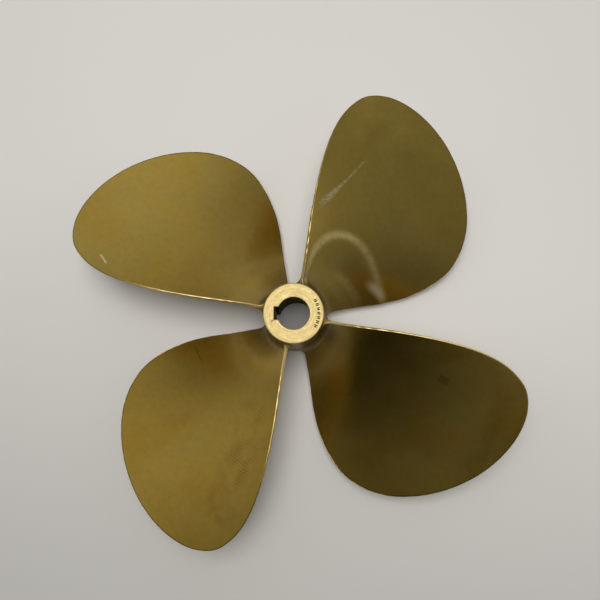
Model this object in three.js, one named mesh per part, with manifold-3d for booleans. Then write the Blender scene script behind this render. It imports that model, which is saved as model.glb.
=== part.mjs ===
// A four-bladed, right-handed boat propeller for a tapered, keyed shaft.
//
// The real propeller is one bronze casting. Here the hub and each blade are
// solids of their own, with a hair gap where a blade's root fillet meets the hub.
//
// Millimetres. +Z runs along the shaft from the forward face of the hub, at
// z = 0, to the aft face, where the shaft nut bears. +Z is astern, the keyway
// lies towards -X, and the origin is the centre of the hub's forward face.

import * as THREE from "three";
import { mergeVertices } from "three/addons/utils/BufferGeometryUtils.js";
import Module from "manifold-3d";

const wasm = await Module();
wasm.setup();

// ---- Driving dimensions ----------------------------------------------------

const BLADE_COUNT = 4;
const TIP_RADIUS = 160; // a propeller of 320 mm diameter
const PITCH = 250; // advance in one turn, constant from root to tip

const HUB_LENGTH = 60;
const HUB_FORWARD_RADIUS = 22;
const HUB_AFT_RADIUS = 19;
const HUB_RIM_CHAMFER = 0.7;

const SHAFT_RADIUS = 12.5; // bore radius at the forward face
const SHAFT_TAPER = 1 / 12; // change of bore diameter per length
const BORE_CHAMFER = 0.4;
const KEY_WIDTH = 8;
const KEYWAY_DEPTH = 2.1; // radially outwards from the bore wall

const BLADE_MID_HEIGHT = 30.7; // pressure face on the root's centre line
const FIRST_BLADE_ANGLE = 45; // degrees from +X to the root's centre line
const ROOT_THICKNESS = 10.5;
const TIP_THICKNESS = 2;
const ROOT_EDGE_THICKNESS = 1.8;
const TIP_EDGE_THICKNESS = 1.2;
const ROOT_FILLET = 5;
const JOINT_GAP = 0.3; // between a blade's root and the hub

// The blade's outline, seen along the shaft: for a share of the tip radius, the
// degrees from the root's centre line to the leading and to the trailing edge.
// The tip is swept towards the trailing edge.
const TIP_SWEEP = 16.4;
const OUTLINE = [
  { radius: 0.96, leading: 1.6, trailing: 26.1 },
  { radius: 0.9, leading: -8.7, trailing: 29.5 },
  { radius: 0.82, leading: -18.6, trailing: 32.0 },
  { radius: 0.7, leading: -27.4, trailing: 33.9 },
  { radius: 0.55, leading: -32.4, trailing: 34.9 },
  { radius: 0.4, leading: -34.3, trailing: 34.9 },
  { radius: 0.25, leading: -32.7, trailing: 33.4 },
  { radius: 0.1, leading: -30.5, trailing: 30.0 },
];

// How finely curved surfaces are divided.
const HUB_SEGMENTS = 72;
const CHORD_STEPS = 18;
const FILLET_STEPS = 4;
const SPAN_STEPS = 18;

// ---- Solids ----------------------------------------------------------------

function solidOf(geometry) {
  const bare = geometry.clone().deleteAttribute("normal").deleteAttribute("uv");
  const merged = mergeVertices(bare, 1e-4);
  return new wasm.Manifold(
    new wasm.Mesh({
      numProp: 3,
      vertProperties: merged.attributes.position.array,
      triVerts: new Uint32Array(merged.index.array),
    }),
  );
}

function geometryOf(solid) {
  const mesh = solid.getMesh();
  const geometry = new THREE.BufferGeometry();
  geometry.setAttribute(
    "position",
    new THREE.BufferAttribute(mesh.vertProperties, 3),
  );
  geometry.setIndex(new THREE.BufferAttribute(mesh.triVerts, 1));
  const faceted = geometry.toNonIndexed();
  faceted.computeVertexNormals();
  return faceted;
}

// A closed ring or disc turned about Z from [radius, height] pairs.
function turned(profile) {
  const points = profile.map(([radius, height]) => new THREE.Vector2(radius, height));
  return new THREE.LatheGeometry(points, HUB_SEGMENTS).rotateX(Math.PI / 2);
}

// ---- Hub -------------------------------------------------------------------

const boreRadius = (height) => SHAFT_RADIUS - (SHAFT_TAPER / 2) * height;

const hubRadius = (height) =>
  THREE.MathUtils.lerp(HUB_FORWARD_RADIUS, HUB_AFT_RADIUS, height / HUB_LENGTH);

function hubGeometry() {
  const top = HUB_LENGTH;
  const body = solidOf(
    turned([
      [boreRadius(0) + BORE_CHAMFER, 0],
      [hubRadius(0) - HUB_RIM_CHAMFER, 0],
      [hubRadius(0), HUB_RIM_CHAMFER],
      [hubRadius(top), top - HUB_RIM_CHAMFER],
      [hubRadius(top) - HUB_RIM_CHAMFER, top],
      [boreRadius(top) + BORE_CHAMFER, top],
      [boreRadius(top), top - BORE_CHAMFER],
      [boreRadius(0), BORE_CHAMFER],
      [boreRadius(0) + BORE_CHAMFER, 0],
    ]),
  );
  return geometryOf(body.subtract(solidOf(keywayGeometry())));
}

// The slot for the key. Its floor follows the taper of the bore.
function keywayGeometry() {
  const past = 2; // the cutter runs this far past both faces
  const floor = (height) => -(boreRadius(height) + KEYWAY_DEPTH);
  const side = new THREE.Shape([
    new THREE.Vector2(floor(-past), -past),
    new THREE.Vector2(0, -past),
    new THREE.Vector2(0, HUB_LENGTH + past),
    new THREE.Vector2(floor(HUB_LENGTH + past), HUB_LENGTH + past),
  ]);
  return new THREE.ExtrudeGeometry(side, { depth: KEY_WIDTH, bevelEnabled: false })
    .rotateX(Math.PI / 2)
    .translate(0, KEY_WIDTH / 2, 0);
}

// The hub's outside, grown by the joint gap: what a blade's root is cut to.
function hubEnvelope() {
  const past = 10;
  const grown = (height) => hubRadius(height) + JOINT_GAP;
  return solidOf(
    turned([
      [0, -past],
      [grown(-past), -past],
      [grown(HUB_LENGTH + past), HUB_LENGTH + past],
      [0, HUB_LENGTH + past],
    ]),
  );
}

// ---- Blades ----------------------------------------------------------------

// Along the outline the "reach" runs from its largest value at the root of the
// leading edge, through 0 at the tip, to its lowest at the root of the trailing
// edge. It is the square root of the share of radius left, so that the tip is
// round.
const reachAt = (share) => Math.sqrt(1 - share);

const outlinePoints = [
  ...OUTLINE.map((row) => [-reachAt(row.radius), row.trailing]).reverse(),
  [0, TIP_SWEEP],
  ...OUTLINE.map((row) => [reachAt(row.radius), row.leading]),
];
const outline = new THREE.CubicInterpolant(
  outlinePoints.map(([reach]) => reach),
  outlinePoints.map(([, angle]) => angle),
  1,
);
const edgeAngle = (reach) => THREE.MathUtils.degToRad(outline.evaluate(reach)[0]);

// Height of the helical pressure face at an angle from the root's centre line.
const faceHeight = (angle) => BLADE_MID_HEIGHT + (PITCH * angle) / (2 * Math.PI);

// How far the fillet stands out of the blade, at a distance from the hub.
function filletRise(distance) {
  if (distance >= ROOT_FILLET) return 0;
  const left = ROOT_FILLET - Math.max(distance, 0);
  return ROOT_FILLET - Math.sqrt(ROOT_FILLET ** 2 - left ** 2);
}

// A point of the blade: share is from 0 at the hub to 1 at the tip, chord from
// -1 at the leading edge to 1 at the trailing edge, and side is 0 on the
// pressure face, which looks aft, and 1 on the rounded back.
function bladePoint(share, chord, side) {
  const radiusAt = (hub) => hub + share * (TIP_RADIUS - hub);
  const nearAngle = edgeAngle(-chord * reachAt(0.12));
  const nearHub = hubRadius(faceHeight(nearAngle));
  const radius = radiusAt(nearHub);
  const reach = reachAt(Math.min(radius / TIP_RADIUS, 1));
  const leading = edgeAngle(reach);
  const trailing = edgeAngle(-reach);
  const rise = filletRise(radius - nearHub);

  const spanShare = THREE.MathUtils.clamp(share, 0, 1);
  const edge = THREE.MathUtils.lerp(ROOT_EDGE_THICKNESS, TIP_EDGE_THICKNESS, spanShare);
  const thickest = THREE.MathUtils.lerp(ROOT_THICKNESS, TIP_THICKNESS, spanShare);
  const thickness = edge + (thickest - edge) * (1 - chord ** 2);

  // The section lies along the pitch line, and its depth is square to it.
  const pitchAngle = Math.atan(PITCH / (2 * Math.PI * radius));
  const angle = THREE.MathUtils.lerp(leading, trailing, (chord + 1) / 2);
  const along = chord * rise;
  const depth = side ? thickness + rise : -rise;
  const turn =
    angle + (along * Math.cos(pitchAngle) + depth * Math.sin(pitchAngle)) / radius;
  const height =
    faceHeight(angle) + along * Math.sin(pitchAngle) - depth * Math.cos(pitchAngle);
  return [radius * Math.cos(turn), radius * Math.sin(turn), height];
}

// Shares of the span: a start inside the hub, close steps up the fillet, then
// steps that shorten towards the tip.
function spanShares() {
  const span = TIP_RADIUS - hubRadius(BLADE_MID_HEIGHT);
  const shares = [-2 / span];
  for (let i = 0; i <= FILLET_STEPS; i++)
    shares.push((ROOT_FILLET / span) * (i / FILLET_STEPS) ** 2);
  const start = shares.at(-1);
  for (let i = 1; i <= SPAN_STEPS; i++) {
    const left = 1 - i / SPAN_STEPS;
    shares.push(1 - (1 - start) * left ** 1.6);
  }
  shares[shares.length - 1] = 1 - 2e-4;
  return shares;
}

function bladeGeometry() {
  const shares = spanShares();
  const chords = Array.from({ length: CHORD_STEPS + 1 }, (_, i) =>
    Math.sin((Math.PI / 2) * ((2 * i) / CHORD_STEPS - 1)),
  );
  const loop = [
    ...chords.map((chord) => [chord, 0]),
    ...chords.map((chord) => [chord, 1]).reverse(),
  ];
  const count = loop.length;
  const positions = shares.flatMap((share) =>
    loop.flatMap(([chord, side]) => bladePoint(share, chord, side)),
  );
  const triangles = [];
  const quad = (a, b, c, d) => triangles.push(a, c, b, a, d, c);
  for (let row = 0; row + 1 < shares.length; row++)
    for (let i = 0; i < count; i++) {
      const next = (i + 1) % count;
      const from = row * count;
      quad(from + i, from + next, from + count + next, from + count + i);
    }
  const last = (shares.length - 1) * count;
  for (let i = 0; i < CHORD_STEPS; i++) {
    const across = count - 1 - i;
    quad(i + 1, i, across, across - 1);
    quad(last + i, last + i + 1, last + across - 1, last + across);
  }
  const geometry = new THREE.BufferGeometry();
  geometry.setAttribute("position", new THREE.Float32BufferAttribute(positions, 3));
  geometry.setIndex(triangles);
  return geometryOf(solidOf(geometry).subtract(hubEnvelope()));
}

// ---- Materials -------------------------------------------------------------

function machinedBronze() {
  return new THREE.MeshStandardMaterial({
    color: 0xd9bd78,
    metalness: 1,
    roughness: 0.45,
  });
}

function groundBronze() {
  return new THREE.MeshStandardMaterial({
    color: 0x9c8344,
    metalness: 1,
    roughness: 0.35,
  });
}

// ---- Propeller -------------------------------------------------------------

function hub() {
  const mesh = new THREE.Mesh(hubGeometry(), machinedBronze());
  mesh.name = "hub";
  return mesh;
}

function blade(number) {
  const mesh = new THREE.Mesh(bladeGeometry(), groundBronze());
  mesh.name = `blade_${number}`;
  const turn = FIRST_BLADE_ANGLE + ((number - 1) * 360) / BLADE_COUNT;
  mesh.rotation.z = THREE.MathUtils.degToRad(turn);
  return mesh;
}

const propeller = new THREE.Group();
propeller.add(hub());
for (let number = 1; number <= BLADE_COUNT; number++) propeller.add(blade(number));

export default propeller;
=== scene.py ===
"""A four-bladed bronze boat propeller, lying on the forward face of its hub.

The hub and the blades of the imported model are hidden, and finer castings stand
for them: a hub with a tapered, keyed bore, and helical blades whose root fillets
run into it. Metres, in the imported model's frame: +Z is aft along the shaft, and
the keyway lies towards -X.
"""

import math

import bmesh
import bpy
import numpy as np
from mathutils import Matrix, Vector


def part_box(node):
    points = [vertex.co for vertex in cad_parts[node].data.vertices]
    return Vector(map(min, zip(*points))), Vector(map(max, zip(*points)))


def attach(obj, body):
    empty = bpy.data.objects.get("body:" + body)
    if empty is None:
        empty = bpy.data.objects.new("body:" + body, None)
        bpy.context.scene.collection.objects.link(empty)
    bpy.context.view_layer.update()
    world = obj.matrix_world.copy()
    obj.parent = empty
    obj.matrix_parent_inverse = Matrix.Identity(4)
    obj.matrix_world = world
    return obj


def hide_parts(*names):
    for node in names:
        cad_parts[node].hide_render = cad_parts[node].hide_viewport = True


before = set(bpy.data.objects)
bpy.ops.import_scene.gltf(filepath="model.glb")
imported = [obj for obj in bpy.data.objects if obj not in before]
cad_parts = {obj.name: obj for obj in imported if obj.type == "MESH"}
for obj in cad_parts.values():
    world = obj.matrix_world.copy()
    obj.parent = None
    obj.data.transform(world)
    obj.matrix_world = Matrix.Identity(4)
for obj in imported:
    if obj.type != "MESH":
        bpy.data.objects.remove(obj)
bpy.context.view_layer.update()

HUB_LOW, HUB_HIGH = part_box("hub")
MM = 0.001

# ---- Driving dimensions, in metres ---------------------------------------------

BLADE_COUNT = 4
TIP_RADIUS = 160 * MM
PITCH = 250 * MM

HUB_LENGTH = HUB_HIGH.z - HUB_LOW.z
HUB_FORWARD_RADIUS = HUB_HIGH.x
HUB_AFT_RADIUS = 19 * MM
HUB_RIM_ROUNDING = 0.7 * MM

SHAFT_RADIUS = 12.5 * MM  # the bore at the forward face
SHAFT_TAPER = 1 / 12  # change of bore diameter per length
BORE_CHAMFER = 0.4 * MM
KEY_WIDTH = 8 * MM
KEYWAY_DEPTH = 2.1 * MM
KEYWAY_CORNER = 0.5 * MM

# Pairs of plain strokes punched in an arc on the aft face, and a nick beside the keyway.
STROKE_PAIRS = 7
STROKE_STEP = math.radians(10)
STROKE_RING = 15.8 * MM
STROKES_APART = 1.0 * MM
STROKE_SIZE = (2.4 * MM, 0.8 * MM)
NICK_SIZE = (1.3 * MM, 0.8 * MM)
NICK_PLACE = (-13.2 * MM, -4.85 * MM)
NICK_TURN = math.radians(35)
# The punch is a flattened ball: its whole height, and its middle's height over the face.
PUNCH_HEIGHT = 0.7 * MM
PUNCH_RAISED = 0.08 * MM

BLADE_MID_HEIGHT = 30.7 * MM
FIRST_BLADE_ANGLE = 45
ROOT_THICKNESS = 10.5 * MM
TIP_THICKNESS = 2 * MM
ROOT_EDGE_THICKNESS = 2 * MM
TIP_EDGE_THICKNESS = 1.2 * MM
EDGE_ROUNDING = 0.5 * MM
ROOT_FILLET = 5 * MM
EDGE_FILLET_SHARE = 0.2  # of the fillet, where it turns round the blade's edges
BLADE_SPACING = 400 * MM  # between the blades' places on the grain map

# The thicker palm at each blade's root, ground by hand: how far it reaches out from
# its middle, and how far it stands up. Then its middle's radius, half the width of
# the soft step at its border, and how much less it reaches towards the leading edge.
PALMS = ((38 * MM, 1.0 * MM), (20 * MM, 0.25 * MM), (22 * MM, 0.25 * MM), (15 * MM, 0.1 * MM))
PALM_MIDDLE = 27 * MM
PALM_BLEND = 4 * MM
PALM_NARROWING = 3 * MM
PALM_TURN = (0.1, 0.9)  # shares of the half chord between which its border turns in

# For each blade: how strong the painted highlight along its palm's border is, then how bright its trailing
# edge is, as worn bronze and painted highlight, and how far out.
RIM_HIGHLIGHTS = (0.9, 0.1, 0.1, 0.2)
BRIGHT_EDGES = ((0.55, 55 * MM), (1, 90 * MM), (1, 80 * MM), (0.85, 140 * MM))

# The blade's outline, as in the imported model: share of the tip radius, then the
# degrees from the root's centre line to the leading and to the trailing edge. The
# root itself lies at ROOT_SHARE of the tip radius.
ROOT_SHARE = 0.12
TIP_SWEEP = 16.4
OUTLINE = [
    (0.96, 1.6, 26.1),
    (0.90, -8.7, 29.5),
    (0.82, -18.6, 32.0),
    (0.70, -27.4, 33.9),
    (0.55, -32.4, 34.9),
    (0.40, -34.3, 34.9),
    (0.25, -32.7, 33.4),
    (0.10, -30.5, 30.0),
]

# How finely the meshes are divided.
HUB_ROWS = 25
RIM_ROWS = 5
CORNER_POINTS = 6
BORE_POINTS = 90
SUNK_ROWS = (-1.5 * MM, -0.05 * MM)  # inside the hub
FILLET_ROWS = 13
BLADE_ROWS = 120
EDGE_POINTS = 6
FACE_POINTS = 74
OUTLINE_POINTS = 1500

# ---- Node helpers ----------------------------------------------------------------


def node(tree, kind, settings=None, **inputs):
    """A new node. Inputs are given by name, each as a value or as the socket to link."""
    made = tree.nodes.new(kind)
    for name, value in (settings or {}).items():
        setattr(made, name, value)
    for name, value in inputs.items():
        fill(tree, made.inputs[name.replace("_", " ")], value)
    return made


def fill(tree, socket, value):
    if isinstance(value, bpy.types.NodeSocket):
        tree.links.new(value, socket)
    else:
        socket.default_value = value


def maths(tree, operation, *values):
    made = tree.nodes.new("ShaderNodeMath")
    made.operation = operation
    for socket, value in zip(made.inputs, values):
        fill(tree, socket, value)
    return made.outputs[0]


def vector_maths(tree, operation, *values, output="Vector"):
    made = tree.nodes.new("ShaderNodeVectorMath")
    made.operation = operation
    for socket, value in zip(made.inputs, values):
        fill(tree, socket, value)
    return made.outputs[output]


def product(tree, first, *others):
    """All the values multiplied together."""
    for other in others:
        first = maths(tree, "MULTIPLY", first, other)
    return first


def largest(tree, first, *others):
    """The largest of the values."""
    for other in others:
        first = maths(tree, "MAXIMUM", first, other)
    return first


def remap(tree, value, low, high, to_low=0.0, to_high=1.0):
    """A smooth step of value from low..high to to_low..to_high, clamped."""
    made = node(tree, "ShaderNodeMapRange", {"interpolation_type": "SMOOTHSTEP"}, Value=value)
    for name, number in zip(("From Min", "From Max", "To Min", "To Max"), (low, high, to_low, to_high)):
        made.inputs[name].default_value = number
    return made.outputs["Result"]


def mix(tree, factor, first, second):
    made = tree.nodes.new("ShaderNodeMix")
    made.data_type = "RGBA"
    colours = [s for s in made.inputs if s.type == "RGBA"]
    fill(tree, made.inputs["Factor"], factor)
    fill(tree, colours[0], first)
    fill(tree, colours[1], second)
    return next(s for s in made.outputs if s.type == "RGBA")


def noise(tree, vector, scale, detail=2.0, roughness=0.5, distortion=0.0):
    made = node(
        tree, "ShaderNodeTexNoise", None,
        Vector=vector, Scale=scale, Detail=detail, Roughness=roughness, Distortion=distortion,
    )
    return made.outputs["Fac"]


def scaled(tree, vector, factors):
    return vector_maths(tree, "MULTIPLY", vector, factors)


def attribute(tree, name):
    return node(tree, "ShaderNodeAttribute", {"attribute_name": name}).outputs["Fac"]


def bump(tree, height, distance, below=None):
    """Relief of the given height in metres, laid over the relief below it."""
    made = node(tree, "ShaderNodeBump", None, Strength=1.0, Distance=distance, Height=height)
    if below is not None:
        tree.links.new(below, made.inputs["Normal"])
    return made.outputs["Normal"]


def new_material(name):
    material = bpy.data.materials.new(name)
    material.use_nodes = True
    shader = material.node_tree.nodes["Principled BSDF"]
    return material, material.node_tree, shader


# ---- Bronze ------------------------------------------------------------------------

GOLD = (0.455, 0.305, 0.052, 1)
OLIVE = (0.400, 0.292, 0.066, 1)
BROWN = (0.420, 0.256, 0.034, 1)
# Grime, and also painted shade in the fillets, on the hub's side, on the roots' trailing sides, on the
# edges and in a band on the first blade.
GRIME_AND_SHADE = (0.160, 0.112, 0.030, 1)
# Fresh bronze on the worn trailing edges, standing also for a painted highlight there.
FRESH_AND_SHEEN = (0.820, 0.640, 0.270, 1)
# Scuffs and a scratch, and also a painted highlight blob.
SCUFF_AND_HIGHLIGHT = (0.600, 0.560, 0.390, 1)
# Painted highlight on the palms' borders and in a streak on the first blade.
HIGHLIGHT_GOLD = (0.680, 0.560, 0.270, 1)
FACED = (0.680, 0.555, 0.270, 1)
FACED_DARK = (0.500, 0.395, 0.175, 1)
FACED_PALE = (0.830, 0.740, 0.430, 1)
# Near-black bore and keyway: painted shade, with darker stains.
BORE_SHADE = (0.032, 0.028, 0.016, 1)
BORE_SHADE_DARK = (0.018, 0.016, 0.010, 1)
BORED_AT_GRAZING = (0.45, 0.42, 0.30, 1)
PUNCHED = (0.130, 0.090, 0.036, 1)
PUNCHED_DARK = (0.055, 0.036, 0.012, 1)

# For each blade: how far its patina has gone from golden to olive, which stands also as a painted tint of
# cooler light, how dark its root is painted on the trailing side as painted shade, and how clear its
# chatter marks are.
PATINA_AND_LIGHT_TINT = (1.0, 0.55, 0.0, 0.15)
ROOT_SHADE = (0.5, 0.3, 0.2, 1.0)
CHATTER = (0.35, 0.15, 1.0, 0.3)
HUB_PATINA = 0.5
# The hub also stays clear of the edges' painted highlight and painted shade.
HUB_TO_EDGE = 50 * MM  # too far from any blade's edge to be worn like one
CHATTER_SPACING = 1.75 * MM
CHATTER_SLANT = -0.2

# Single marks: the blade's number, then the mark's two ends, each in millimetres
# along the chord from its middle and out from the shaft.
SCUFF_ENDS = (1, (45, 74), (36.5, 111))
# A painted highlight blob.
HIGHLIGHT_BLOB_ENDS = (1, (-23, 55.5), (-40, 62.5))
# A painted highlight streak.
HIGHLIGHT_STREAK_ENDS = (1, (2, 40), (-31, 45))
# A band of painted shade.
SHADE_BAND_ENDS = (1, (3, 49), (-24, 50))
SCRATCH_ENDS = (2, (50, 132), (55.5, 126))
LINE_ENDS = (3, (-46, 74), (-28, 71))
STROKES_ENDS = (4, (37, 100), (37, 106.5))
STROKE_SPACING = 1.65 * MM


def grain_spot(number, spot):
    """A place on one blade's grain map, in metres."""
    along, radius = spot
    return Vector((along * MM, radius * MM + BLADE_SPACING * number, 0))


def band(tree, grain, ends, half_width, fade):
    """A soft-edged straight band on the grain map, with the distances along it and across it."""
    number, first, last = ends
    start, end = grain_spot(number, first), grain_spot(number, last)
    length, axis = (end - start).length, (end - start).normalized()
    offset = vector_maths(tree, "SUBTRACT", grain, tuple(start))
    along = vector_maths(tree, "DOT_PRODUCT", offset, tuple(axis), output="Value")
    across = vector_maths(tree, "DOT_PRODUCT", offset, (-axis.y, axis.x, 0), output="Value")
    across = maths(tree, "ABSOLUTE", across)
    inside = remap(tree, across, half_width * 0.5, half_width, 1, 0)
    begun = remap(tree, along, -fade, fade)
    ended = remap(tree, along, length - fade, length + fade, 1, 0)
    return product(tree, inside, begun, ended), along, across


def stripes(tree, distance, spacing):
    """A wave of 0 to 1 with a period of the given spacing."""
    wave = maths(tree, "SINE", product(tree, distance, 2 * math.pi / spacing))
    return maths(tree, "MULTIPLY_ADD", wave, 0.5, 0.5)


def chatter_marks(tree, grain):
    """Where the grinder has chattered, along each blade's trailing side, and its fine waves."""
    along = node(tree, "ShaderNodeSeparateXYZ", None, Vector=grain).outputs["X"]
    radius = attribute(tree, "radius")
    middle = remap(tree, radius, 65 * MM, 95 * MM, 28 * MM, 42 * MM)
    off_middle = maths(tree, "ABSOLUTE", maths(tree, "SUBTRACT", along, middle))
    patches = noise(tree, scaled(tree, grain, (60, 45, 1)), 1.0, 2, 0.5)
    strip = product(
        tree,
        attribute(tree, "chatter"),
        remap(tree, off_middle, 4 * MM, 14 * MM, 1, 0),
        remap(tree, radius, 55 * MM, 70 * MM),
        remap(tree, radius, 134 * MM, 142 * MM, 1, 0),
        remap(tree, patches, 0.36, 0.58),
    )
    wander = product(tree, noise(tree, scaled(tree, grain, (90, 90, 1)), 1.0, 1, 0.5), 3 * MM)
    slant = maths(tree, "MULTIPLY_ADD", along, CHATTER_SLANT, maths(tree, "ADD", radius, wander))
    return strip, stripes(tree, slant, CHATTER_SPACING)


def tapering_scuff(tree, grain):
    """A speckled scuff, wide near the trailing edge and narrow at its outer end."""
    scuff, along, across = band(tree, grain, SCUFF_ENDS, 6 * MM, 4 * MM)
    width = remap(tree, along, 2 * MM, 26 * MM, 3.4 * MM, 1.1 * MM)
    taper = remap(tree, maths(tree, "DIVIDE", across, width), 0.3, 1, 1, 0)
    specks = noise(tree, scaled(tree, grain, (520, 700, 1)), 1.0, 3, 0.7)
    fading = remap(tree, along, 4 * MM, 36 * MM, 0.65, 0.4)
    return product(tree, scuff, taper, remap(tree, specks, 0.38, 0.62), fading)


def knock_and_highlight_marks(tree, grain):
    """The bright marks on the blades, as one mask: a scuff and a scratch, which are knocks, and a painted
    highlight blob.
    """
    # The painted highlight blob.
    highlight_blob, _, across = band(tree, grain, HIGHLIGHT_BLOB_ENDS, 6 * MM, 6 * MM)
    highlight_blob = product(tree, highlight_blob, remap(tree, across, 0, 5 * MM, 1, 0))
    scratch, _, _ = band(tree, grain, SCRATCH_ENDS, 0.65 * MM, 0.6 * MM)
    return largest(tree, tapering_scuff(tree, grain), highlight_blob, product(tree, scratch, 0.6))


def dark_marks(tree, grain):
    """The dark marks, as one mask: a thin line, a few short strokes and a wide band of painted shade."""
    line, _, _ = band(tree, grain, LINE_ENDS, 0.7 * MM, 4 * MM)
    strokes, along, _ = band(tree, grain, STROKES_ENDS, 3.2 * MM, 0.5 * MM)
    strokes = product(tree, strokes, stripes(tree, along, STROKE_SPACING), 0.7)
    # The band of painted shade.
    shade_band, _, _ = band(tree, grain, SHADE_BAND_ENDS, 11 * MM, 8 * MM)
    return largest(tree, product(tree, line, 0.45), strokes, product(tree, shade_band, 0.3))


def mottle(tree, place):
    return noise(tree, place, 260, 3, 0.6)


def palm_rim_highlight(tree, place, grain):
    """Painted highlights: along the border of each palm, and a faint streak across the first blade's."""
    highlight_streak, _, across = band(tree, grain, HIGHLIGHT_STREAK_ENDS, 7 * MM, 7 * MM)
    highlight_streak = product(tree, highlight_streak, remap(tree, across, 0, 5 * MM, 0.7, 0))
    highlighted = largest(tree, attribute(tree, "rim"), highlight_streak)
    return product(tree, highlighted, remap(tree, mottle(tree, place), 0.25, 0.7, 0.25, 0.8))


def edge_wear_sheen_and_shade(tree, place):
    """Masks for the edges: where they are worn bright and carry a painted highlight, and where they are
    darkened as painted shade.
    """
    wander = product(tree, noise(tree, place, 420, 3, 0.6), 0.6 * MM)
    to_edge = maths(tree, "ADD", attribute(tree, "edge"), wander)
    near = remap(tree, to_edge, 0.5 * MM, 1.4 * MM, 1, 0)
    wear_and_sheen = attribute(tree, "wear_and_sheen")
    past_root = remap(tree, attribute(tree, "root"), 1 * MM, 6 * MM, 0.3, 1)
    return product(tree, near, wear_and_sheen, past_root), product(tree, near, maths(tree, "SUBTRACT", 1.0, wear_and_sheen))


def patina_and_shade_colour(tree, place, grain, clouds):
    """Golden, olive and brown bronze in soft clouds, dirty in its grain, and darkened round the hub with
    painted shade: in the root fillets, on the hub's side and on each root's trailing side.
    """
    along = node(tree, "ShaderNodeSeparateXYZ", None, Vector=grain).outputs["X"]
    root, patina_and_light_tint = attribute(tree, "root"), attribute(tree, "patina_and_light_tint")
    drift = noise(tree, vector_maths(tree, "ADD", place, (0.31, 0.17, 0.05)), 27, 4, 0.6)
    # The olive share set per blade is patina, and also a painted tint of cooler light.
    olive = remap(tree, maths(tree, "MULTIPLY_ADD", patina_and_light_tint, 0.3, clouds), 0.46, 0.78)
    brown = maths(tree, "MULTIPLY_ADD", patina_and_light_tint, -0.45, 0.7)
    brown = product(tree, remap(tree, drift, 0.46, 0.72), brown)
    # Painted shade in the root fillets, and on the hub's side, where the root distance reads 0.
    fillet = product(tree, remap(tree, root, 1 * MM, 7 * MM, 0.95, 0), remap(tree, drift, 0.2, 0.7, 0.7, 1))
    # Painted shade on each root's trailing side.
    inner = product(
        tree,
        attribute(tree, "root_shade"),
        remap(tree, root, 4 * MM, 24 * MM, 1, 0),
        remap(tree, along, -4 * MM, 14 * MM),
    )
    colour = mix(tree, olive, GOLD, OLIVE)
    colour = mix(tree, brown, colour, BROWN)
    colour = mix(tree, remap(tree, mottle(tree, place), 0.3, 0.8, 0, 0.16), colour, GRIME_AND_SHADE)
    colour = mix(tree, fillet, colour, GRIME_AND_SHADE)
    return mix(tree, inner, colour, GRIME_AND_SHADE)


def ground_bronze():
    """Cast bronze, ground and brushed, under a thin mottled patina, with painted highlights and painted
    shade.
    """
    material, tree, shader = new_material("ground_bronze")
    place = node(tree, "ShaderNodeTexCoord").outputs["Object"]
    grain = node(tree, "ShaderNodeUVMap", {"uv_map": "grain"}).outputs["UV"]
    root = attribute(tree, "root")
    clouds = noise(tree, place, 14, 3, 0.55, 0.6)
    chatter, waves = chatter_marks(tree, grain)
    knocks_and_highlight = knock_and_highlight_marks(tree, grain)
    worn_and_sheen, edge_shade = edge_wear_sheen_and_shade(tree, place)

    colour = patina_and_shade_colour(tree, place, grain, clouds)
    colour = mix(tree, product(tree, chatter, 0.55), colour, BROWN)
    colour = mix(tree, product(tree, chatter, waves, 0.5), colour, GRIME_AND_SHADE)
    colour = mix(tree, dark_marks(tree, grain), colour, GRIME_AND_SHADE)
    # Painted highlights on the palms' borders.
    colour = mix(tree, palm_rim_highlight(tree, place, grain), colour, HIGHLIGHT_GOLD)
    # Scuffs and a scratch, and a painted highlight blob.
    colour = mix(tree, knocks_and_highlight, colour, SCUFF_AND_HIGHLIGHT)
    # Painted shade along the edges.
    colour = mix(tree, product(tree, edge_shade, 0.6), colour, GRIME_AND_SHADE)
    # Worn trailing edges, painted bright also as a highlight.
    colour = mix(tree, worn_and_sheen, colour, FRESH_AND_SHEEN)

    fine = noise(tree, scaled(tree, grain, (140, 2600, 1)), 1.0, 3, 0.6)
    brushed = noise(tree, scaled(tree, grain, (35, 700, 1)), 1.0, 2, 0.5)
    roughness = remap(tree, maths(tree, "MULTIPLY_ADD", fine, 0.3, clouds), 0.4, 0.9, 0.27, 0.34)
    roughness = maths(tree, "ADD", roughness, remap(tree, root, 0, 8 * MM, 0.14, 0))
    roughness = maths(tree, "ADD", roughness, remap(tree, root, 0, 35 * MM, 0.08, 0))
    roughness = maths(tree, "MULTIPLY_ADD", largest(tree, knocks_and_highlight, worn_and_sheen), 0.2, roughness)
    normal = bump(tree, noise(tree, place, 22, 1, 0.4), 0.5 * MM)
    normal = bump(tree, brushed, 0.008 * MM, normal)
    normal = bump(tree, fine, 0.005 * MM, normal)
    normal = bump(tree, product(tree, chatter, waves), 0.02 * MM, normal)

    shader.inputs["Metallic"].default_value = 1.0
    shader.inputs["Coat Weight"].default_value = 0.2
    shader.inputs["Coat Roughness"].default_value = 0.12
    fill(tree, shader.inputs["Base Color"], colour)
    fill(tree, shader.inputs["Roughness"], roughness)
    fill(tree, shader.inputs["Normal"], normal)
    return material


def turned_coordinates(tree):
    """The place itself, then its distance from the shaft's axis, angle round it and height."""
    place = node(tree, "ShaderNodeTexCoord").outputs["Object"]
    split = node(tree, "ShaderNodeSeparateXYZ", None, Vector=place)
    x, y = split.outputs["X"], split.outputs["Y"]
    squares = maths(tree, "ADD", maths(tree, "POWER", x, 2.0), maths(tree, "POWER", y, 2.0))
    radius, angle = maths(tree, "SQRT", squares), maths(tree, "ARCTAN2", y, x)
    turned = node(tree, "ShaderNodeCombineXYZ", None, X=radius, Y=angle, Z=split.outputs["Z"])
    return place, turned.outputs["Vector"]


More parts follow.
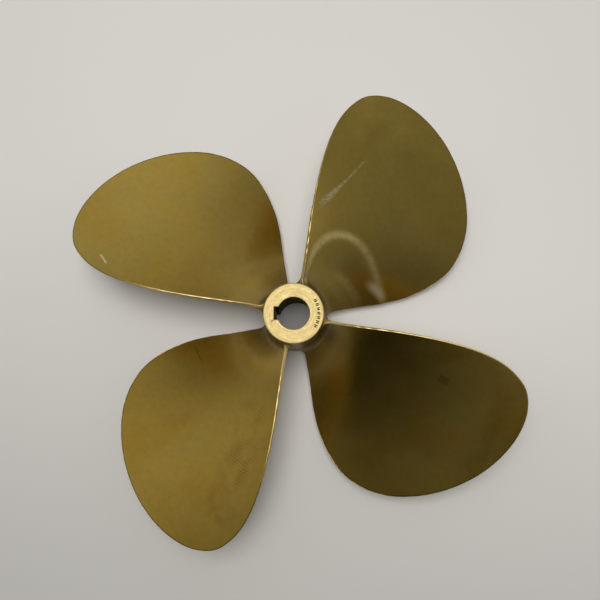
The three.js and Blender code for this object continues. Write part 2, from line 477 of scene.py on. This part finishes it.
def machined_bronze():
    """The faced ends of the hub: bright, with fine turning marks."""
    material, tree, shader = new_material("machined_bronze")
    place, turned = turned_coordinates(tree)
    rings = noise(tree, scaled(tree, turned, (950, 1.2, 0)), 1.0, 3, 0.7)
    arcs = noise(tree, scaled(tree, turned, (1300, 7, 0)), 1.0, 3, 0.6)
    stains = noise(tree, place, 210, 4, 0.6)
    colour = mix(tree, remap(tree, rings, 0.35, 0.65), FACED, FACED_DARK)
    colour = mix(tree, remap(tree, stains, 0.45, 0.8, 0, 0.4), colour, FACED_DARK)
    colour = mix(tree, remap(tree, arcs, 0.52, 0.7, 0, 0.7), colour, FACED_PALE)
    normal = bump(tree, rings, 0.02 * MM)
    normal = bump(tree, arcs, 0.012 * MM, normal)
    shader.inputs["Metallic"].default_value = 1.0
    fill(tree, shader.inputs["Base Color"], colour)
    fill(tree, shader.inputs["Roughness"], remap(tree, arcs, 0.3, 0.7, 0.55, 0.7))
    fill(tree, shader.inputs["Normal"], normal)
    return material


def shaded_bore_bronze():
    """The reamed bore and its keyway: painted near black as painted shade, with marks round the taper."""
    material, tree, shader = new_material("shaded_bore_bronze")
    place, turned = turned_coordinates(tree)
    rings = noise(tree, scaled(tree, turned, (0, 0.6, 2200)), 1.0, 3, 0.6)
    stains = noise(tree, place, 120, 4, 0.65)
    shader.inputs["Metallic"].default_value = 1.0
    shader.inputs["Specular Tint"].default_value = BORED_AT_GRAZING
    fill(tree, shader.inputs["Base Color"], mix(tree, remap(tree, stains, 0.35, 0.7), BORE_SHADE, BORE_SHADE_DARK))
    fill(tree, shader.inputs["Roughness"], remap(tree, rings, 0.3, 0.7, 0.34, 0.5))
    fill(tree, shader.inputs["Normal"], bump(tree, rings, 0.02 * MM))
    return material


def punched_bronze():
    """The sunk punch marks, which hold dirt."""
    material, tree, shader = new_material("punched_bronze")
    place = node(tree, "ShaderNodeTexCoord").outputs["Object"]
    dirt = noise(tree, place, 1500, 2, 0.5)
    shader.inputs["Metallic"].default_value = 1.0
    fill(tree, shader.inputs["Base Color"], mix(tree, remap(tree, dirt, 0.3, 0.7), PUNCHED_DARK, PUNCHED))
    fill(tree, shader.inputs["Roughness"], remap(tree, dirt, 0.3, 0.7, 0.5, 0.7))
    return material


# ---- Mesh helpers ------------------------------------------------------------------


def new_piece(name, vertices, faces):
    mesh = bpy.data.meshes.new(name)
    mesh.from_pydata([tuple(v) for v in vertices], [], faces)
    mesh.validate()
    made = bpy.data.objects.new(name, mesh)
    bpy.context.scene.collection.objects.link(made)
    return made


def outward(piece):
    """Turns the faces of a closed piece to look out."""
    shape = bmesh.new()
    shape.from_mesh(piece.data)
    bmesh.ops.recalc_face_normals(shape, faces=shape.faces)
    shape.to_mesh(piece.data)
    shape.free()


def soften(piece, sharp_angle):
    piece.data.shade_smooth()
    piece.data.set_sharp_from_angle(angle=math.radians(sharp_angle))


def grid_faces(rows, columns):
    """Quads between rings of points, each ring following the one before."""
    faces = []
    for start in range(0, (rows - 1) * columns, columns):
        above = start + columns
        for here in range(columns):
            there = (here + 1) % columns
            faces.append((start + here, start + there, above + there, above + here))
    return faces


def store(piece, name, values):
    layer = piece.data.attributes.new(name, "FLOAT", "POINT")
    layer.data.foreach_set("value", np.asarray(values, dtype=np.float32))


# ---- Hub ---------------------------------------------------------------------------

SIDE, ENDS, BORE, PUNCHES = range(4)  # the places of the hub's materials


def bore_radius(height):
    return SHAFT_RADIUS - SHAFT_TAPER / 2 * height


def hub_radius(height):
    return HUB_FORWARD_RADIUS + (HUB_AFT_RADIUS - HUB_FORWARD_RADIUS) * height / HUB_LENGTH


def bore_outline(height, grown=0.0):
    """The keyed bore's outline at a height, from the keyway's middle round and back to it."""
    radius, half = bore_radius(height) + grown, KEY_WIDTH / 2 + grown
    floor = bore_radius(height) + KEYWAY_DEPTH + grown
    mouth = math.asin(half / radius)
    corner = KEYWAY_CORNER
    points = [(-floor, y) for y in np.linspace(0, half - corner, CORNER_POINTS)]
    for turn in np.linspace(0, math.pi / 2, CORNER_POINTS)[1:]:
        inwards, upwards = corner * (1 - math.cos(turn)), corner * math.sin(turn)
        points.append((-floor + inwards, half - corner + upwards))
    side = np.linspace(-floor + corner, -radius * math.cos(mouth), CORNER_POINTS)[1:]
    points += [(x, half) for x in side]
    arc = np.linspace(math.pi - mouth, 0, BORE_POINTS)[1:]
    points += [(radius * math.cos(a), radius * math.sin(a)) for a in arc]
    return points + [(x, -y) for x, y in reversed(points[1:-1])]


def round_outline(radius):
    """A circle whose points lie at the bore outline's angles."""
    angles = [math.atan2(y, x) for x, y in bore_outline(HUB_LENGTH)]
    return [(radius * math.cos(a), radius * math.sin(a)) for a in angles]


def hub_rows():
    """Closed outlines with their heights, up the outside, over the aft face and down the bore."""
    top, rim, chamfer = HUB_LENGTH, HUB_RIM_ROUNDING, BORE_CHAMFER
    turns = np.linspace(0, math.pi / 2, RIM_ROWS)
    outside = [(hub_radius(0) - rim * (1 - math.sin(t)), rim * (1 - math.cos(t))) for t in turns]
    outside += [(hub_radius(z), z) for z in np.linspace(rim, top - rim, HUB_ROWS)[1:-1]]
    outside += [(hub_radius(top) - rim * (1 - math.cos(t)), top - rim * (1 - math.sin(t))) for t in turns]
    inmost = bore_radius(top) + KEYWAY_DEPTH + 2 * chamfer
    outside += [(r, top) for r in np.linspace(hub_radius(top) - rim, inmost, RIM_ROWS)[1:]]
    rows = [(round_outline(r), z) for r, z in outside]
    rows += [(bore_outline(top, chamfer), top)]
    rows += [(bore_outline(z), z) for z in np.linspace(top - chamfer, chamfer, HUB_ROWS)]
    rows += [(bore_outline(0, chamfer), 0)]
    return rows


def sink(shape, x, y, turn, size):
    """Adds a long shallow dent in the aft face to the shapes that are cut from it."""
    length, width = size
    sizes = Matrix.Diagonal((length / 2, width / 2, PUNCH_HEIGHT / 2, 1))
    place = Matrix.Translation((x, y, HUB_LENGTH + PUNCH_RAISED)) @ Matrix.Rotation(turn, 4, "Z")
    bmesh.ops.create_uvsphere(shape, u_segments=16, v_segments=10, radius=1, matrix=place @ sizes)


def punch_marks():
    """The strokes and the nick, as one mesh to cut from the hub."""
    shape = bmesh.new()
    for i in range(STROKE_PAIRS):
        for side in (-0.5, 0.5):
            angle = (i - (STROKE_PAIRS - 1) / 2) * STROKE_STEP + side * STROKES_APART / STROKE_RING
            sink(shape, STROKE_RING * math.cos(angle), STROKE_RING * math.sin(angle), angle, STROKE_SIZE)
    sink(shape, *NICK_PLACE, NICK_TURN, NICK_SIZE)
    mesh = bpy.data.meshes.new("punch")
    shape.to_mesh(mesh)
    shape.free()
    return bpy.data.objects.new("punch", mesh)


def cut(piece, cutter):
    """Cuts one mesh with another, which is then removed."""
    bpy.context.scene.collection.objects.link(cutter)
    tool = piece.modifiers.new("cut", "BOOLEAN")
    tool.object, tool.operation, tool.solver = cutter, "DIFFERENCE", "EXACT"
    ready = piece.evaluated_get(bpy.context.evaluated_depsgraph_get())
    mesh = bpy.data.meshes.new_from_object(ready)
    piece.modifiers.clear()
    piece.data = mesh
    bpy.data.objects.remove(cutter)


def finish_faces(hub):
    """Gives each of the hub's faces its finish: ground side, faced ends or bore."""
    steep, margin = 0.3, 0.2 * MM
    for face in hub.data.polygons:
        middle = face.center
        wall = bore_radius(middle.z) + KEYWAY_DEPTH + margin
        ended = abs(face.normal.z) > steep
        bored = math.hypot(middle.x, middle.y) < wall
        face.material_index = ENDS if ended else BORE if bored else SIDE


def make_hub(materials):
    rows = hub_rows()
    columns = len(rows[0][0])
    vertices = [(x, y, z) for outline, z in rows for x, y in outline]
    faces = grid_faces(len(rows) + 1, columns)
    faces = [tuple(i % len(vertices) for i in face) for face in faces]
    hub = new_piece("bronze_hub", vertices, faces)
    cutter = punch_marks()
    for material in materials:
        hub.data.materials.append(material)
        cutter.data.materials.append(material)
    outward(hub)
    finish_faces(hub)
    for face in cutter.data.polygons:
        face.material_index = PUNCHES
    cut(hub, cutter)
    soften(hub, sharp_angle=25)
    return hub


# ---- Blades ------------------------------------------------------------------------


def smooth_curve(xs, ys):
    """A curve through points, whose slope at each is the mean of those on its two sides."""
    xs, ys = np.array(xs, float), np.array(ys, float)
    chords = np.diff(ys) / np.diff(xs)
    slopes = np.concatenate([chords[:1], (chords[1:] + chords[:-1]) / 2, chords[-1:]])

    def at(x):
        i = int(np.clip(np.searchsorted(xs, x) - 1, 0, len(xs) - 2))
        span = xs[i + 1] - xs[i]
        p = (x - xs[i]) / span
        start = (1 + 2 * p) * (1 - p) ** 2 * ys[i] + p * (1 - p) ** 2 * span * slopes[i]
        end = p * p * (3 - 2 * p) * ys[i + 1] + p * p * (p - 1) * span * slopes[i + 1]
        return start + end

    return at


def reach_at(share):
    """The outline's parameter: 0 at the tip, and larger towards the root."""
    return math.sqrt(max(1 - share, 0))


OUTLINE_CURVE = smooth_curve(
    [-reach_at(r) for r, _, _ in reversed(OUTLINE)] + [0] + [reach_at(r) for r, _, _ in OUTLINE],
    [trailing for *_, trailing in reversed(OUTLINE)] + [TIP_SWEEP] + [leading for _, leading, _ in OUTLINE],
)


def edge_angle(reach):
    return math.radians(OUTLINE_CURVE(reach))


def face_height(angle):
    return BLADE_MID_HEIGHT + PITCH * angle / (2 * math.pi)


def on_helix(radius, angle):
    return np.array([radius * math.cos(angle), radius * math.sin(angle), face_height(angle)])


def blade_rows():
    """The blade's span, and its rows' distances from the hub: dense in the fillet and at the tip."""
    span = TIP_RADIUS - hub_radius(BLADE_MID_HEIGHT)
    fillet = [ROOT_FILLET * (1 - math.cos(t)) for t in np.linspace(0, math.pi / 2, FILLET_ROWS)]
    left = 1 - ROOT_FILLET / span
    body = [span * (1 - left * (1 - t) ** 1.5) for t in np.linspace(0, 1, BLADE_ROWS)[1:]]
    body[-1] = span - 1e-6  # so that the last section still has a width
    return span, [*SUNK_ROWS, *fillet, *body]


def section_stations(half, rounding):
    """Places across a blade section: distance from its middle, and how far round its edge."""
    turns = np.linspace(0, math.pi / 2, EDGE_POINTS)
    edge = [(half - rounding * (1 - math.cos(t)), t) for t in turns]
    flat = half - rounding
    sweep = np.linspace(math.pi / 2, -math.pi / 2, FACE_POINTS)[1:-1]
    inner = [(flat * math.sin(t), math.pi / 2) for t in sweep]
    return edge + inner + [(-place, turn) for place, turn in reversed(edge)]


def outline_points():
    """The blade's outline on the helical face, as points close together."""
    root = reach_at(ROOT_SHARE)
    reaches = np.linspace(-root, root, OUTLINE_POINTS)
    return np.array([on_helix(TIP_RADIUS * (1 - w * w), edge_angle(w)) for w in reaches])


def between(start, end, share):
    return start + (end - start) * share


def fillet_rise(distance):
    """How far the root fillet stands out from the blade's face."""
    if distance >= ROOT_FILLET:
        return 0.0
    left = ROOT_FILLET - max(distance, 0)
    return ROOT_FILLET - math.sqrt(ROOT_FILLET**2 - left**2)


def edge_lift(to_edge):
    """How far the rounded edge lies behind the blade's face."""
    inset = max(EDGE_ROUNDING - to_edge, 0)
    return EDGE_ROUNDING - math.sqrt(EDGE_ROUNDING**2 - inset**2)


def smooth_step(value, low, high):
    """0 at low and 1 at high, which may be the smaller of the two."""
    part = min(max((value - low) / (high - low), 0), 1)
    return part * part * (3 - 2 * part)


def palm_share(number, radius, chord):
    """How much of the root's palm stands at a place on the face: 0 outside it and 1 inside."""
    reach = PALMS[number - 1][0] - PALM_NARROWING * smooth_step(-chord, 0, 0.6)
    turn_start, turn_end = PALM_TURN
    across = max(chord - turn_start, 0) / (turn_end - turn_start)
    out = max(radius - PALM_MIDDLE, 0) / reach
    blend = PALM_BLEND / reach
    return smooth_step(math.hypot(across, out), 1 + blend, 1 - blend)


def trailing_wear_and_sheen(number, radius, chord):
    """How bright the edge is, as worn bronze and painted highlight: all of it on the trailing side near the
    hub, none far out.
    """
    strength, reach = BRIGHT_EDGES[number - 1]
    return strength * smooth_step(chord, 0, 0.3) * smooth_step(radius, 1.4 * reach, 0.6 * reach)


def blade_section(number, distance, span, outline):
    """One section's closed loop: each point, its grain place, edge distance, the painted highlight on its
    palm's rim, and its edge wear with painted highlight.
    """
    share = min(max(distance / span, 0), 1)
    middle_radius = hub_radius(BLADE_MID_HEIGHT) + distance
    reach = reach_at(min(middle_radius / TIP_RADIUS, 1))
    rise = fillet_rise(distance)
    edge_thickness = between(ROOT_EDGE_THICKNESS, TIP_EDGE_THICKNESS, share**0.5)
    full_thickness = between(ROOT_THICKNESS, TIP_THICKNESS, share)
    leading, trailing = edge_angle(reach), edge_angle(-reach)
    slope = math.hypot(middle_radius, PITCH / (2 * math.pi))
    half = (trailing - leading) / 2 * slope
    front, back = [], []
    for place, turn in section_stations(half, min(EDGE_ROUNDING, half * 0.6)):
        chord = place / half
        near_hub = hub_radius(face_height(edge_angle(-chord * reach_at(ROOT_SHARE))))
        radius = near_hub + distance * (TIP_RADIUS - near_hub) / span
        angle = (leading + trailing) / 2 + place / slope
        to_edge = np.sqrt(((outline - on_helix(radius, angle)) ** 2).sum(1)).min()
        lift = edge_lift(to_edge)
        palm = palm_share(number, radius, chord)
        # The painted highlight along the palm's border.
        rim = 4 * palm * (1 - palm) * RIM_HIGHLIGHTS[number - 1]
        # The edge's wear, with its painted highlight.
        wear_and_sheen = trailing_wear_and_sheen(number, radius, chord)
        thickness = between(edge_thickness, full_thickness, 1 - chord**2)
        along = math.copysign(math.cos(turn), place) * rise * EDGE_FILLET_SHARE
        upper = lift - rise * math.sin(turn) - palm * PALMS[number - 1][1]
        lower = thickness - lift + rise * math.sin(turn)
        point = blade_point(radius, angle, along, upper, distance)
        front.append((point, place, radius, to_edge, rim, wear_and_sheen))
        point = blade_point(radius, angle, along, lower, distance)
        back.append((point, 2 * half + thickness - place, radius, to_edge, 0, wear_and_sheen))
    return front + back[::-1]


def blade_point(radius, angle, along, depth, distance):
    """A point set off from the helical face along the pitch line and square to it."""
    pitch_angle = math.atan(PITCH / (2 * math.pi * radius))
    turn = angle + (along * math.cos(pitch_angle) + depth * math.sin(pitch_angle)) / radius
    height = face_height(angle) + along * math.sin(pitch_angle) - depth * math.cos(pitch_angle)
    if distance < ROOT_FILLET:
        blend = max(distance, 0) / ROOT_FILLET
        radius = radius * blend + (hub_radius(height) + distance) * (1 - blend)
    return (radius * math.cos(turn), radius * math.sin(turn), height)


def make_blade(number, material):
    span, distances = blade_rows()
    outline = outline_points()
    sections = [blade_section(number, d, span, outline) for d in distances]
    columns = len(sections[0])
    points = [entry for section in sections for entry in section]
    faces = grid_faces(len(sections), columns)
    faces += end_cap(0, columns) + end_cap((len(sections) - 1) * columns, columns)
    turn = Matrix.Rotation(math.radians(FIRST_BLADE_ANGLE + 360 / BLADE_COUNT * (number - 1)), 3, "Z")
    blade = new_piece(f"bronze_blade_{number}", [turn @ Vector(p[0]) for p in points], faces)
    for place, name in enumerate(("radius", "edge", "rim", "wear_and_sheen"), start=2):
        store(blade, name, [p[place] for p in points])
    store(blade, "root", [max(d, 0) for d in distances for _ in range(columns)])
    for name, shares in (("patina_and_light_tint", PATINA_AND_LIGHT_TINT), ("chatter", CHATTER), ("root_shade", ROOT_SHADE)):
        store(blade, name, np.full(len(points), shares[number - 1]))
    lay_grain(blade, [(p[1], p[2] + BLADE_SPACING * number) for p in points], columns)
    outward(blade)
    blade.data.materials.append(material)
    soften(blade, sharp_angle=40)
    return blade


def lay_grain(blade, places, columns):
    """Texture coordinates in metres: round the section, and out along the blade."""
    layer = blade.data.uv_layers.new(name="grain")
    for face in blade.data.polygons:
        corners = list(face.vertices)
        closing = {corner % columns for corner in corners} == {0, columns - 1}
        for loop, corner in zip(face.loop_indices, corners):
            around, outwards = places[corner]
            if closing and corner % columns:
                around = places[corner - columns + 1][0] - EDGE_ROUNDING
            layer.data[loop].uv = (around, outwards)


def end_cap(start, columns):
    """Quads across the two sides of a section."""
    half = columns // 2
    return [
        (start + i, start + i + 1, start + columns - 2 - i, start + columns - 1 - i)
        for i in range(half - 1)
    ]


# ---- Studio ------------------------------------------------------------------------


def direction(azimuth, from_zenith):
    """A unit vector from two angles in degrees: from +X round towards +Y, and from overhead."""
    a, z = math.radians(azimuth), math.radians(from_zenith)
    return Vector((math.sin(z) * math.cos(a), math.sin(z) * math.sin(a), math.cos(z)))


# The floor's two colours are painted light and shade: lit behind, shaded in front.
FLOOR_LIT_BACK = (0.755, 0.748, 0.732, 1)
FLOOR_SHADED_FRONT = (0.534, 0.534, 0.520, 1)
FLOOR_REACH = 6.0
LAMP_COLOUR = (1.0, 0.97, 0.92)
ROOM_COLOUR = (1.0, 0.985, 0.955, 1)
BACKDROP_COLOUR = (0.94, 0.93, 0.91, 1)
BACKDROP_LIGHT = 0.62  # as the camera sees it

# The light from all round, then broad soft lobes that add to it or take from it: the
# azimuth, the degrees from overhead, how narrow the lobe is, and how much it adds.
ROOM_LIGHT = 0.222
LEAST_LIGHT = 0.01
ROOM_LOBES = [
    (60, 80, 3.0, 0.22),
    (12, 68, 25.0, 0.44),
    (82, 32, 12.0, 0.57),
    (-35, 52, 10.0, 0.05),
    (50, 30, 12.0, -0.40),
    (169, 52, 6.0, 0.42),
    (124, 56, 14.0, -0.25),
    (-122, 62, 3.0, -0.49),
]


def light_room():
    """Soft light from all round, with gentle changes and no edges."""
    world = bpy.data.worlds.new("room")
    world.use_nodes = True
    tree = world.node_tree
    looking = node(tree, "ShaderNodeTexCoord").outputs["Generated"]
    looking = vector_maths(tree, "NORMALIZE", looking)
    light = ROOM_LIGHT
    for azimuth, from_zenith, narrow, amount in ROOM_LOBES:
        towards = tuple(direction(azimuth, from_zenith))
        facing = vector_maths(tree, "DOT_PRODUCT", looking, towards, output="Value")
        falling = product(tree, maths(tree, "SUBTRACT", facing, 1.0), narrow)
        lobe = product(tree, maths(tree, "EXPONENT", falling), amount)
        light = maths(tree, "ADD", lobe, light)
    light = largest(tree, light, LEAST_LIGHT)
    seen = node(tree, "ShaderNodeLightPath").outputs["Is Camera Ray"]
    background = tree.nodes["Background"]
    fill(tree, background.inputs["Color"], mix(tree, seen, ROOM_COLOUR, BACKDROP_COLOUR))
    shown = product(tree, seen, BACKDROP_LIGHT)
    hidden = product(tree, maths(tree, "SUBTRACT", 1.0, seen), light)
    fill(tree, background.inputs["Strength"], maths(tree, "ADD", shown, hidden))
    bpy.context.scene.world = world


def soft_light(name, azimuth, from_zenith, distance, side, power):
    """A square soft light aimed at the frame's origin, out of the camera's sight."""
    lamp = bpy.data.lights.new(name, "AREA")
    lamp.size = side
    lamp.energy = power
    lamp.color = LAMP_COLOUR
    made = bpy.data.objects.new(name, lamp)
    away = direction(azimuth, from_zenith)
    made.location = away * distance
    made.rotation_euler = away.to_track_quat("Z", "Y").to_euler()
    made.visible_camera = False
    bpy.context.scene.collection.objects.link(made)


def lay_floor():
    """A pale matt floor, out past every view, with painted shade making it darker in front, towards -Y, and
    a little towards -X.
    """
    material, tree, shader = new_material("pale_floor")
    place = node(tree, "ShaderNodeTexCoord").outputs["Object"]
    split = node(tree, "ShaderNodeSeparateXYZ", None, Vector=place)
    slope = maths(tree, "MULTIPLY_ADD", split.outputs["X"], 0.25, split.outputs["Y"])
    cloud = noise(tree, place, 3, 3, 0.5)
    grain = noise(tree, place, 700, 2, 0.5)
    # Painted shade: darker towards -Y and a little towards -X.
    colour = mix(tree, remap(tree, slope, -0.30, 0.10), FLOOR_SHADED_FRONT, FLOOR_LIT_BACK)
    colour = mix(tree, remap(tree, cloud, 0.3, 0.7, 0, 0.06), colour, FLOOR_SHADED_FRONT)
    fill(tree, shader.inputs["Base Color"], colour)
    fill(tree, shader.inputs["Normal"], bump(tree, grain, 0.02 * MM))
    shader.inputs["Roughness"].default_value = 0.75
    corners = [(x * FLOOR_REACH, y * FLOOR_REACH, 0) for x, y in ((-1, -1), (1, -1), (1, 1), (-1, 1))]
    floor = new_piece("floor", corners, [(0, 1, 2, 3)])
    floor.data.materials.append(material)


# The camera is almost over the hub, tilted a little towards +Y.
CAMERA_PLACE = (15.8 * MM, -32.2 * MM, 430 * MM)
CAMERA_FORWARD = (-0.0315, 0.1085, -0.9936)
CAMERA_UP = (0.0017, 0.9941, 0.1085)
CAMERA_LENS = 36  # and a sensor as wide, in millimetres


def place_camera():
    """Looks down on the aft end of the hub."""
    data = bpy.data.cameras.new("camera")
    data.sensor_width, data.lens = CAMERA_LENS, CAMERA_LENS
    data.clip_start = 0.01
    camera = bpy.data.objects.new("camera", data)
    bpy.context.scene.collection.objects.link(camera)
    camera.location = CAMERA_PLACE
    forward = Vector(CAMERA_FORWARD).normalized()
    right = forward.cross(Vector(CAMERA_UP)).normalized()
    up = right.cross(forward)
    camera.rotation_euler = Matrix((right, up, -forward)).transposed().to_euler()
    bpy.context.scene.camera = camera


# ---- Propeller ---------------------------------------------------------------------


def make_propeller():
    ground = ground_bronze()
    hub = make_hub([ground, machined_bronze(), shaded_bore_bronze(), punched_bronze()])
    store(hub, "edge", np.full(len(hub.data.vertices), HUB_TO_EDGE))
    store(hub, "patina_and_light_tint", np.full(len(hub.data.vertices), HUB_PATINA))
    hub.data.uv_layers.new(name="grain")
    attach(hub, "root")
    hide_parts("hub")
    for number in range(1, BLADE_COUNT + 1):
        blade = make_blade(number, ground)
        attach(blade, "root")
        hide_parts(f"blade_{number}")


place_camera()
make_propeller()
light_room()
soft_light("overhead", azimuth=100, from_zenith=7, distance=1.3, side=0.7, power=11.3)
lay_floor()
bpy.context.scene.view_settings.view_transform = "Standard"
